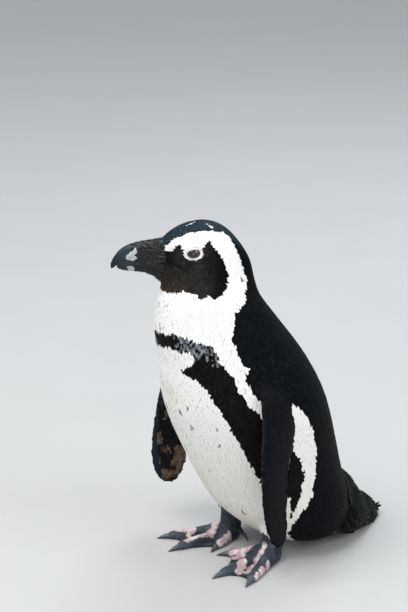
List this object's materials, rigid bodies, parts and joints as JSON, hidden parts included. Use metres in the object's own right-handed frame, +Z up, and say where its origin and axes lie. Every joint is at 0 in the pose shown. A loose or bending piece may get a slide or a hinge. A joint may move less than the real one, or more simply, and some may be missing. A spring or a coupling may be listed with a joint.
{
  "type": "african penguin, still life-size model",
  "caption": "African penguin standing at rest with its neck drawn in, its head turned to its right and its tail on the ground.",
  "frame": {"origin": "on the floor below the middle of the whole bird's bounding box", "axes": "+Z up, the body faces -Y, the bird's left side is +X"},
  "size_m": [0.2202, 0.316, 0.38],
  "materials": {
    "plumage": "white and brownish black body feathers, matt",
    "flipper_feathers": "small scale-like black feathers with a satin sheen",
    "tail_feathers": "stiff black feathers, matt",
    "bill_horn": "black horn with a grey band, satin",
    "eye": "wet gloss, dark brown iris",
    "foot_skin": "slate-black scaly skin with pink patches",
    "claw_horn": "dark grey horn, satin"
  },
  "bodies": {
    "root": {"trunk": "plumage", "neck": "plumage", "head": "plumage", "leg_left": "plumage", "leg_right": "plumage", "bill_upper": "bill_horn", "bill_lower": "bill_horn", "tail": "tail_feathers", "eye_left": "eye", "flipper_left": "flipper_feathers", "foot_left": "foot_skin", "claw_inner_left": "claw_horn", "claw_middle_left": "claw_horn", "claw_outer_left": "claw_horn", "claw_hind_left": "claw_horn", "eye_right": "eye", "flipper_right": "flipper_feathers", "foot_right": "foot_skin", "claw_inner_right": "claw_horn", "claw_middle_right": "claw_horn", "claw_outer_right": "claw_horn", "claw_hind_right": "claw_horn"}
  },
  "joints": []
}
